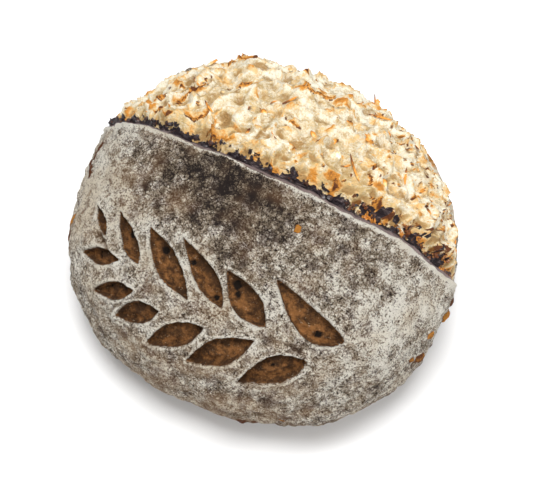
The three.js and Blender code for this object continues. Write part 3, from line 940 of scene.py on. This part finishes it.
# The largest flaps: place on the body, length, width, turn in degrees, rise and toasting of the edge.
FLAPS = (
    ((-66, 47, 63), 10, 18, -20, 2.4, 1.25), ((-39, 54, 69), 8, 10, -52, 1.8, 1),
    ((1, 72, 64), 11, 20, -52, 2.6, 1.1), ((15, 73, 63), 8, 11, -60, 2, 0.9),
    ((-16, 39, 76), 8, 10, 0, 1.6, 0.8), ((-42, 29, 74), 9, 9, -60, 1.5, 1),
    ((-70, 35, 65), 8, 10, -30, 1.8, 1.2), ((27, 62, 67), 13, 14, -90, 2.4, 0.2),
    ((-10, 69, 65), 8, 9, -50, 1.8, 0.95), ((35, 83, 52), 7, 8, -60, 1.4, 0.8),
    ((-87, 34, 55), 8, 8, -40, 1.4, 0.7), ((-29, 17, 78), 7, 8, -70, 1.2, 0.7),
    ((11, 38, 76), 11, 12, -60, 2, 0.35), ((65, 46, 63), 8, 8, -60, 1.4, 0.8),
    ((-8, 52, 73), 9, 9, -20, 1.5, 0.5), ((48, 40, 71), 10, 10, -60, 1.6, 0.5),
)
# Share of the scales that are toasted: more or less than elsewhere, place on the body and reach.
TOASTED_SHARE = 0.24
TOASTED_ZONES = (
    (0.55, (-88, 22, 58), 28),
    (-0.15, (-15, 42, 74), 26),
    (0.3, (34, 15, 76), 22),
    (-0.15, (-20, 85, 50), 32),
    (0.3, (105, 32, 32), 20),
)
# Bowls where bubbles burst: place on the body and radius.
BURSTS = (
    ((-59, 39, 68), 5), ((-59, 53, 64), 5), ((-36, 44, 72), 9), ((-24, 52, 72), 5.5), ((-24, 63, 67), 6),
    ((-37, 26, 76), 7), ((-14, 34, 77), 6.5), ((-40, 62, 65), 6), ((-3, 46, 74), 6), ((13, 51, 72), 7),
    ((24, 62, 67), 7), ((45, 55, 66), 6), ((8, 33, 77), 7), ((-78, 40, 59), 5), ((25, 39, 75), 5),
    ((56, 41, 68), 6), ((-60, 67, 56), 4.5), ((-82, 25, 60), 4),
)
# Toasted and deep-baked patches: place on the body, radius and how toasted.
TOASTED = (
    ((-64, 24, 69), 4.5, 0.8), ((-29, 23, 77), 4, 0.6), ((-80, 63, 48), 3.5, 0.5),
    ((-80, 29, 61), 3.5, 0.6), ((15, 24, 78), 5.5, 0.8), ((34, 20, 77), 5, 0.9), ((60, 28, 69), 3.5, 0.7),
    ((-11, 64, 68), 4, 0.8), ((1, 73, 63), 5, 0.9), ((14, 73, 63), 4, 0.8), ((-93, 31, 52), 3.5, 0.6),
    ((-13, 17, 79), 5, 0.5), ((33, 36, 74), 3, 0.9), ((27, 65, 66), 2.5, 0.6), ((-17, 44, 75), 3, 0.5),
    ((-3, 35, 77), 3, 0.5), ((-20, 90, 49), 3, 0.6), ((9, 94, 46), 3.5, 0.7), ((24, 82, 56), 3, 0.6),
    ((103, 35, 38), 4, 0.8), ((109, 34, 28), 3.5, 0.8), ((92, 32, 51), 3, 0.8), ((91, 51, 43), 3, 0.6),
    ((-66, 42, 65), 3, 1.4), ((-76, 44, 59), 2, 1.2), ((-40, 53, 69), 3, 1.1), ((-47, 28, 74), 2, 1.2),
    ((-42, 16, 76), 2.5, 1.3), ((-81, 22, 61), 2.5, 1.4), ((-70, 19, 67), 2.5, 1.3),
    ((-15, 85, 55), 1.8, 1.3), ((2, 79, 59), 2, 1.2), ((54, 75, 52), 2.2, 1.5), ((-36, 81, 55), 1.6, 1),
    ((13, 18, 79), 2, 1.2), ((40, 34, 73), 2, 1.2), ((39, 73, 59), 1.8, 1.2), ((53, 56, 63), 1.6, 1.2),
    ((60, 58, 60), 1.6, 1.2), ((70, 67, 49), 1.8, 1.3), ((82, 64, 42), 1.6, 1.1), ((80, 42, 56), 1.8, 1.1),
    ((95, 47, 40), 2, 1.1),
)
SMALL_BURSTS = {"count": 12, "radius": (2.0, 4.5), "apart": 10.0}
# Zones of warmer crumb that are also darkened with painted shade: amount, place on the body and reach.
WARMTH_AND_SHADE_ZONES = (
    (0.45, (-30, 45, 72), 34),
    (0.65, (36, 20, 75), 26),
    (-0.3, (-20, 85, 52), 34),
    (0.1, (70, 50, 54), 26),
)
# Where the bloom is smoother, with fewer creases: share, place on the body and reach.
CALM_ZONES = (
    (0.7, (-30, 50, 71), 24),
    (0.5, (20, 48, 72), 20),
)


# The bloom's skin: its height where the crust covers it, its lowest place over the base, and the share of the
# bloom over which its relief fades at the back lip.
BURIED = -12.0
BLOOM_BOTTOM = 4.0
LIP_FADE = 0.06
# Columns and rows of the grid over which the relief is levelled, and over which its hollows are found.
LEVELLED_OVER = 16
SHADED_OVER = 8


def beyond_crevice(skin):
    return skin.behind - crevice_width(skin.place[:, 0])


def loose_chance(skin, clear, end, ends):
    """Chance of a loose piece: none in the crevice, on the back lip or at the ends of the score."""
    return smooth(beyond_crevice(skin), *clear) * smooth(end - skin.share, 0.0, 0.05) * (skin.ends > ends)


class BloomField:
    """The bloom's relief, how toasted and deeply baked it is, and the painted shadow under its scales' edges,
    as grids that shapes are added to.
    """

    def __init__(self, skin, form, toast, deep_baked_and_shadow):
        self.skin = skin
        self.form, self.toast, self.deep_baked_and_shadow = skin.grid(form), skin.grid(toast), skin.grid(deep_baked_and_shadow)
        self.uneven = skin.grid(soft_noise(skin.place, 6.0, 44, 2))
        self.ragged = skin.grid(soft_noise(skin.place, 2.5, 45, 2))

    def scale(self, place, size, width, turn, rise, strength):
        """A scale that rises to a ragged edge, with its edge toasted and a painted shadow line just outside
        it.
        """
        part, u, v = self.skin.patch(place, 0.6 * max(size, width), turn)
        rising = np.clip(u / size + 0.5, 0.0, 1.0)
        half = width / 2 * np.sin(math.pi * rising**1.5) ** 0.6
        inside = np.minimum(half - np.abs(v), size / 2 - u) + 0.3 * min(width, 4.0) * self.ragged[part]
        inside = np.where(np.abs(u) < size / 2, inside, -9.0)
        self.form[part] += rise * rising**1.4 * smooth(inside, -0.1, 0.5)
        edge = smooth(inside, -0.3, 0.3) * smooth(rising, 0.3, 0.95) * (1 - 0.7 * smooth(inside, 0.8, 2.2))
        self.toast[part] = lerp(self.toast[part], strength, edge * 0.9)
        # Painted shadow: a brown line just outside a toasted scale's raised edge, where the edge casts its
        # shadow.
        edge_shadow = np.exp(-(((inside + 0.3) / 0.5) ** 2)) * smooth(rising, 0.4, 0.8)
        self.deep_baked_and_shadow[part] = np.maximum(self.deep_baked_and_shadow[part], max(0.0, strength) ** 2 * edge_shadow)

    def scales(self, draw, kind, chance, toasted_share):
        for place in self.skin.draw_places(draw, chance, kind["count"], kind["apart"]):
            size = draw.uniform(*kind["length"])
            toasted = draw.random() < toasted_share[place]
            strength = draw.uniform(0.5, 1.3) if toasted else draw.uniform(-0.1, 0.25)
            width, turn = size * draw.uniform(*kind["width"]), draw.normal(*TORN_TOWARDS)
            self.scale(place, size, width, turn, draw.uniform(*kind["rise"]), strength)

    def bowl(self, draw, place, radius):
        """A round hollow with a thin lip that is toasted on one side."""
        part, u, v = self.skin.patch(place, 1.5 * radius)
        away = np.hypot(u, v * draw.uniform(0.8, 1.3)) / radius
        away += 0.14 * self.uneven[part]
        bowl = smooth(1.0 - away, 0.0, 0.7)
        self.form[part] = lerp(self.form[part], self.form[part] * 0.5 - 0.22 * radius, bowl)
        one_sided = smooth(u * draw.normal() + v * draw.normal(), -2.0, 4.0)
        rim = np.exp(-(((away - 1.05) / 0.14) ** 2)) * one_sided
        self.form[part] += 0.9 * rim
        cleared = self.toast[part] * (1 - 0.7 * bowl)
        self.toast[part] = np.maximum(cleared, 0.5 * rim * (self.uneven[part] > 0))

    def toasted(self, place, radius, strength):
        part, u, v = self.skin.patch(place, 2 * radius)
        away = np.hypot(u, 1.5 * v) / radius + 0.6 * self.uneven[part] + 0.3 * self.ragged[part]
        self.toast[part] = lerp(self.toast[part], strength, smooth(1.1 - away, -0.1, 0.8))


@functools.cache
def bloom_skin():
    skin = Skin(BLOOM_COLUMNS, BLOOM_ROWS, BLOOM_KNOTS)
    p, share = skin.place, skin.share
    beyond = beyond_crevice(skin)
    at_lip = smooth(1.0 - share, 0.0, LIP_FADE)
    on_bloom = smooth(beyond, 0.0, 6.0) * at_lip * (skin.ends > 0)
    draw = np.random.default_rng(SEEDS["bloom"])
    warp = p + 4.0 * np.stack([soft_noise(p, 15.0, 61 + k, 2) for k in range(3)], 1)
    calm = zones(p, CALM_ZONES)
    folds, creases = ridged(warp, 17.0, 91), ridged(warp, 7.5, 93) * (1 - calm)
    patchy = soft_noise(p, 12.0, 71, 3)
    zone = 0.5 + zones(p, TOASTED_ZONES)
    toast = 0.75 * smooth(soft_noise(p, 8.0, 79, 3), 0.0, 0.9)
    toast = toast + 0.3 * smooth(creases, 0.3, 0.9) * smooth(patchy, 0.0, 0.6)
    deep_baked_and_shadow = smooth(creases, 0.6, 1.0) * smooth(soft_noise(p, 6.0, 75, 2), 0.4, 0.9)
    field = BloomField(skin, 3.4 * folds + 1.1 * creases, toast * zone, deep_baked_and_shadow * zone)
    toasted_share = TOASTED_SHARE + zones(p, TOASTED_ZONES)
    for kind in SCALES[:2]:
        field.scales(draw, kind, on_bloom, toasted_share)
    for at, size, width, turn, rise, strength in FLAPS:
        field.scale(skin.nearest(*at), size, width, math.radians(turn), rise, strength)
    field.form -= blurred(field.form, LEVELLED_OVER)
    for at, radius in BURSTS:
        field.bowl(draw, skin.nearest(*at), radius)
    for place in skin.draw_places(draw, on_bloom, SMALL_BURSTS["count"], SMALL_BURSTS["apart"]):
        field.bowl(draw, place, draw.uniform(*SMALL_BURSTS["radius"]))
    right = smooth(p[:, 0], 25.0, 60.0)
    field.scales(draw, SCALES[2], on_bloom, toasted_share)
    dashed = DASHES_ON_RIGHT * smooth(share + 0.004 * p[:, 0], 0.4, 1.0)
    field.scales(draw, SCALES[3], on_bloom * (0.15 + right), toasted_share + dashed)
    for at, radius, strength in TOASTED:
        field.toasted(skin.nearest(*at), radius, strength)
    form, toast, deep_baked_and_shadow = field.form - 0.8 * field.form.mean(), field.toast, field.deep_baked_and_shadow
    wrinkles = ridged(p + 0.3 * warp, 3.4, 95)
    relief = form.ravel() + 0.4 * wrinkles + 0.3 * soft_noise(p, 2.4, 92, 3)
    ragged = 2.6 * soft_noise(p, 7.0, 94, 3) + 1.2 * soft_noise(p, 2.2, 96, 2)
    burnt = smooth(1.0 + ragged - beyond, -0.6, 0.8)
    crumbs = smooth(6.0 * right * smooth(118.0 - p[:, 0], 0.0, 20.0) + 1.6 * ragged - beyond, -0.5, 1.0)
    relief += np.maximum(burnt, crumbs) * (0.4 + 2.4 * soft_noise(p, 3.0, 97, 2))
    rise = bpy.context.scene.loaf_sizes.bloom_rise / MM / BLOOM_RISE
    floor = crevice_floor(p[:, 0])
    swollen = bloom_form(p, share) * rise + relief * smooth(beyond, -1.0, 5.0) * at_lip
    top = lerp(floor, swollen, smooth(beyond, -2.0, BLOOM_SHOULDER))
    cover = smooth(beyond, -5.0, -1.0) * smooth(1.03 - share, 0.0, 0.03) * (skin.ends > 0)
    height = lerp(BURIED, skin.ends * top + dough_form(p), cover)
    height = np.where(skin.direction[:, 2] < BASE_FADE[1], BURIED, height)
    points = skin.raised(height)
    points[:, 2] = np.maximum(points[:, 2], BLOOM_BOTTOM)
    # The relief's hollows get painted shade: warmer through the beige mark and darker through the shade mark.
    hollow = (blurred(skin.grid(relief), SHADED_OVER) - skin.grid(relief)).ravel()
    near = np.exp(-(((beyond - 3.0) / 5.0) ** 2))
    warmth_and_shade = zones(p, WARMTH_AND_SHADE_ZONES)
    black = smooth(soft_noise(p, 3.2, 98, 3), -0.1, 0.4)
    skin.marks = {
        "toast": toast.ravel() + 0.5 * near * smooth(soft_noise(p, 9.0, 67, 3), -0.5, 0.7) - 0.12 * hollow,
        # Deep-baked brown, with the painted shadow lines under the scales' edges.
        "deep_baked_and_shadow": deep_baked_and_shadow.ravel() + crumbs * smooth(soft_noise(p, 2.2, 99, 3), -0.4, 0.5),
        # Warmer beige crumb near the crevice and in the zones, and painted shade in the relief's hollows.
        "beige": 0.35 + 0.5 * hollow + 0.5 * smooth(16.0 - beyond, 0.0, 10.0) + warmth_and_shade,
        # Painted shade: darker in the relief's hollows, near the crevice and in the zones.
        "shade": 1.1 * hollow - 0.45 + 0.35 * smooth(11.0 - beyond, 0.0, 8.0) + 0.8 * warmth_and_shade,
        "ash": smooth(6.5 - skin.behind, 0.0, 6.0),
        "specks": -0.3 + 0.3 * smooth(share, 0.5, 0.9) + 0.2 * right,
        "char": np.maximum(burnt * (1 - 0.5 * right), crumbs * black),
    }
    return skin, points


class LOAF_OT_bloom(bpy.types.Operator):
    """Makes the torn bloom behind the ear"""

    bl_idname = "loaf.bloom"
    bl_label = "Torn Bloom"

    def execute(self, context):
        skin, points = bloom_skin()
        to_object(skin.mesh("bloom", points), bloom_material(context.scene.loaf_colours))
        return {"FINISHED"}


FLAKES_APART = 4.0


class LOAF_OT_flakes(bpy.types.Operator):
    """Makes the loose flakes that curl up from the bloom"""

    bl_idname = "loaf.flakes"
    bl_label = "Loose Flakes"

    def execute(self, context):
        skin, points = bloom_skin()
        sizes = context.scene.loaf_sizes
        draw = np.random.default_rng(SEEDS["flakes"])
        chance = loose_chance(skin, (2.0, 8.0), 0.98, 0.5)
        flakes = Scatter(2)
        for place in skin.draw_places(draw, chance, sizes.flakes, FLAKES_APART):
            size = sizes.flake_length / MM * draw.uniform(0.25, 1.0) ** 2 + 1.0
            along, _ = skin.ways(place)
            ways = leaning(skin.normal[place], along, any_turn(draw), draw.uniform(0.1, 0.45))
            foot = points[place] + ways[0] * 0.15 * size - skin.normal[place] * 0.4
            shape = (size, size * draw.uniform(0.4, 0.9), 0.35 + 0.03 * size)
            curl, sway = draw.uniform(-0.1, 0.3), draw.uniform(-0.2, 0.2)
            flakes.add(foot, ways, shape, curl, sway, 0.6, int(place), (0.15, draw.choice([0.4, 0.9, 1.3])))
        material = flake_material(context.scene.loaf_colours)
        to_object(flakes.mesh("flakes", "toast"), material)
        return {"FINISHED"}


# Long strands that stand out: their two ends on the body.
LONG_STRANDS = (
    ((37.2, 39.2, 72.9), (49, 24.4, 73.1)), ((65.6, 51, 60.3), (70.5, 39, 62.2)),
    ((68.7, 63.6, 52.2), (71.7, 53.8, 55.8)), ((-73, 53.9, 57.1), (-62.8, 44.4, 65.2)),
    ((-12.8, 49.5, 73.3), (-7.5, 58.8, 70.2)), ((-53.2, 33.1, 71), (-44.5, 27.1, 74.2)),
    ((30.5, 77.3, 57.7), (44.4, 79.5, 52.1)),
)
STRAND_WIDTH = 1.4
STRANDS_APART = 7.0
# Tufts that stand out from the skin: place, pieces, length, and how far they lean from the skin.
TUFTS = (
    ((-60, 92, 30), 8, 5.5, 1.2),
    ((24, 103, 26), 2, 8, 0.9),
    ((-62, 50, 64), 2, 4, 0.6),
    ((34, 80, 57), 2, 3.5, 0.7),
    ((84, 72, 34), 3, 4, 0.9),
)


class LOAF_OT_strands(bpy.types.Operator):
    """Makes the thin brown strands on the bloom"""

    bl_idname = "loaf.strands"
    bl_label = "Thin Strands"

    def execute(self, context):
        skin, points = bloom_skin()
        draw = np.random.default_rng(SEEDS["strands"])
        chance = loose_chance(skin, (4.0, 12.0), 0.97, 0.6)
        strands = Scatter(3)
        for start, end in LONG_STRANDS:
            start, end = (points[skin.nearest(*at)] for at in (start, end))
            size = np.linalg.norm(end - start)
            middle = skin.nearest(*((start + end) / 2 - BODY_SHIFT))
            ways = leaning(skin.normal[middle], (end - start) / size, 0.0, 0.0)
            place = (start + end) / 2 + skin.normal[middle] * 1.2
            shape = (size, STRAND_WIDTH, STRAND_WIDTH)
            strands.add(place, ways, shape, -0.06, 0.1, 0.1, middle, (1.3, 0.6))
        for at, count, length, lean in TUFTS:
            for _ in range(count):
                place = skin.nearest(*(at + draw.normal(size=3) * 1.5))
                along, _ = skin.ways(place)
                ways = leaning(skin.normal[place], along, any_turn(draw), lean)
                size = length * draw.uniform(0.6, 1.0)
                shape = (size, size * draw.uniform(0.3, 0.7), 0.6)
                foot = points[place] + ways[0] * 0.35 * size
                curl, sway = draw.uniform(-0.3, 0.3), draw.uniform(-0.3, 0.3)
                strands.add(foot, ways, shape, curl, sway, 0.4, int(place), (0.3, draw.uniform(0.5, 1.3)))
        for place in skin.draw_places(draw, chance, context.scene.loaf_sizes.strands, STRANDS_APART):
            along, _ = skin.ways(place)
            ways = leaning(skin.normal[place], along, any_turn(draw), draw.uniform(-0.05, 0.15))
            size = draw.uniform(4.0, 9.0)
            foot = points[place] + skin.normal[place] * 0.5
            curl, sway = draw.uniform(-0.1, 0.1), draw.uniform(-0.35, 0.35)
            strands.add(foot, ways, (size, 0.9, 0.9), curl, sway, 0.1, int(place), (0.5, 1.3))
        material = flake_material(context.scene.loaf_colours)
        to_object(strands.mesh("strands", "toast"), material)
        return {"FINISHED"}


CLUSTER = {"pieces": 4, "reach": 1.8, "apart": 2.5}


class LOAF_OT_shards(bpy.types.Operator):
    """Makes the burnt shards and crumbs along the ear"""

    bl_idname = "loaf.shards"
    bl_label = "Burnt Shards"

    def execute(self, context):
        skin, points = bloom_skin()
        sizes = context.scene.loaf_sizes
        draw = np.random.default_rng(SEEDS["shards"])
        chance = np.exp(-(((beyond_crevice(skin) - 1.0) / 2.0) ** 2)) * (skin.ends > 0.55)
        shards = Scatter(2)
        for place in skin.draw_places(draw, chance, sizes.shards // CLUSTER["pieces"], CLUSTER["apart"]):
            right = smooth(skin.place[place, 0], 25.0, 70.0)
            toast = draw.uniform(0.3, 1.1) if draw.random() < 0.75 * right else draw.uniform(0.0, 0.3)
            along, across = skin.ways(place)
            largest = sizes.shard_length / MM * draw.uniform(0.5, 1.0)
            for i in range(CLUSTER["pieces"]):
                size = largest * draw.uniform(0.4, 1.0)
                ways = leaning(skin.normal[place], along, any_turn(draw), draw.uniform(0.2, 1.5))
                aside = along * draw.normal() + across * 0.5 * draw.normal()
                foot = points[place] + aside * CLUSTER["reach"] + ways[0] * 0.2 * size
                shape = (size, size * draw.uniform(0.5, 1.0), size * draw.uniform(0.3, 0.6))
                curl = draw.uniform(-0.2, 0.2)
                shards.add(foot, ways, shape, curl, 0.0, 0.7, int(place) + i, (toast, toast))
        material = shard_material(context.scene.loaf_colours)
        to_object(shards.mesh("shards", "toast"), material, False)
        return {"FINISHED"}


# ---------- stage ----------

CAMERA_AZIMUTH = math.radians(27.4)
CAMERA_ELEVATION = math.radians(64.0)
CAMERA_DISTANCE = 1.2
CAMERA_LENS = 131.7
AIM_RIGHT = 2.9 * MM
AIM_DOWN = 5.7 * MM
SENSOR_WIDTH = 36.0
FLOOR_HALF = 6.0
FLOOR_GREY = 0.9
SKY_STRENGTH = 0.4
LIGHT_SIZE = 1.0
LIT_HEIGHT = 0.05
# Lights: name, place and power.
LIGHTS = (
    ("key", (-0.05, 0.0, 2.0), 47.0),
    ("fill", (1.1, -0.6, 1.1), 9.0),
)


class LOAF_OT_stage(bpy.types.Operator):
    """Sets the floor, the lights and the camera"""

    bl_idname = "loaf.stage"
    bl_label = "Stage"

    def execute(self, context):
        bm = bmesh.new()
        bmesh.ops.create_grid(bm, x_segments=1, y_segments=1, size=FLOOR_HALF)
        mesh = bpy.data.meshes.new("floor")
        bm.to_mesh(mesh)
        bm.free()
        floor = bpy.data.objects.new("floor", mesh)
        context.scene.collection.objects.link(floor)
        paint = Paint("floor")
        paint.set("Base Color", (FLOOR_GREY, FLOOR_GREY, FLOOR_GREY, 1))
        paint.set("Roughness", 0.9)
        mesh.materials.append(paint.material)
        world = bpy.data.worlds.new("studio")
        world.use_nodes = True
        sky = world.node_tree.nodes["Background"].inputs
        sky["Color"].default_value = (1, 1, 1, 1)
        sky["Strength"].default_value = SKY_STRENGTH
        context.scene.world = world
        for name, place, power in LIGHTS:
            self.light(context, name, place, power)
        self.camera(context)
        context.scene.view_settings.view_transform = "Standard"
        return {"FINISHED"}

    def light(self, context, name, place, power):
        data = bpy.data.lights.new(name, "AREA")
        data.size = LIGHT_SIZE
        data.energy = power
        lamp = bpy.data.objects.new(name, data)
        lamp.location = place
        aim = Vector((0, 0, LIT_HEIGHT)) - Vector(place)
        lamp.rotation_euler = aim.to_track_quat("-Z", "Y").to_euler()
        context.scene.collection.objects.link(lamp)

    def camera(self, context):
        across = Vector((math.cos(CAMERA_AZIMUTH), math.sin(CAMERA_AZIMUTH), 0))
        away = Vector((
            math.sin(CAMERA_AZIMUTH) * math.cos(CAMERA_ELEVATION),
            -math.cos(CAMERA_AZIMUTH) * math.cos(CAMERA_ELEVATION),
            math.sin(CAMERA_ELEVATION),
        ))
        up = away.cross(across)
        middle = Vector(BODY_SHIFT * MM)
        place = middle + away * CAMERA_DISTANCE
        aim = middle + across * AIM_RIGHT - up * AIM_DOWN
        data = bpy.data.cameras.new("camera")
        data.lens = CAMERA_LENS
        data.sensor_width = SENSOR_WIDTH
        camera = bpy.data.objects.new("camera", data)
        camera.location = place
        camera.rotation_euler = (aim - place).to_track_quat("-Z", "Y").to_euler()
        context.scene.collection.objects.link(camera)
        context.scene.camera = camera


class LOAF_PT_panel(bpy.types.Panel):
    bl_label = "Sourdough Loaf"
    bl_idname = "LOAF_PT_panel"
    bl_space_type = "VIEW_3D"
    bl_region_type = "UI"
    bl_category = "Loaf"

    def draw(self, context):
        for operator in OPERATORS:
            self.layout.operator(operator.bl_idname)
        for group in (context.scene.loaf_sizes, context.scene.loaf_colours):
            for name in group.__annotations__:
                self.layout.prop(group, name)


OPERATORS = (LOAF_OT_stage, LOAF_OT_crust, LOAF_OT_bloom, LOAF_OT_flakes, LOAF_OT_strands, LOAF_OT_shards)
CLASSES = (LoafColours, LoafSizes, *OPERATORS, LOAF_PT_panel)


def register():
    for made in CLASSES:
        bpy.utils.register_class(made)
    bpy.types.Scene.loaf_colours = bpy.props.PointerProperty(type=LoafColours)
    bpy.types.Scene.loaf_sizes = bpy.props.PointerProperty(type=LoafSizes)


def unregister():
    del bpy.types.Scene.loaf_colours
    del bpy.types.Scene.loaf_sizes
    for made in reversed(CLASSES):
        bpy.utils.unregister_class(made)


def main():
    register()
    bpy.ops.loaf.stage()
    bpy.ops.loaf.crust()
    bpy.ops.loaf.bloom()
    bpy.ops.loaf.flakes()
    bpy.ops.loaf.strands()
    bpy.ops.loaf.shards()


if __name__ == "__main__":
    main()
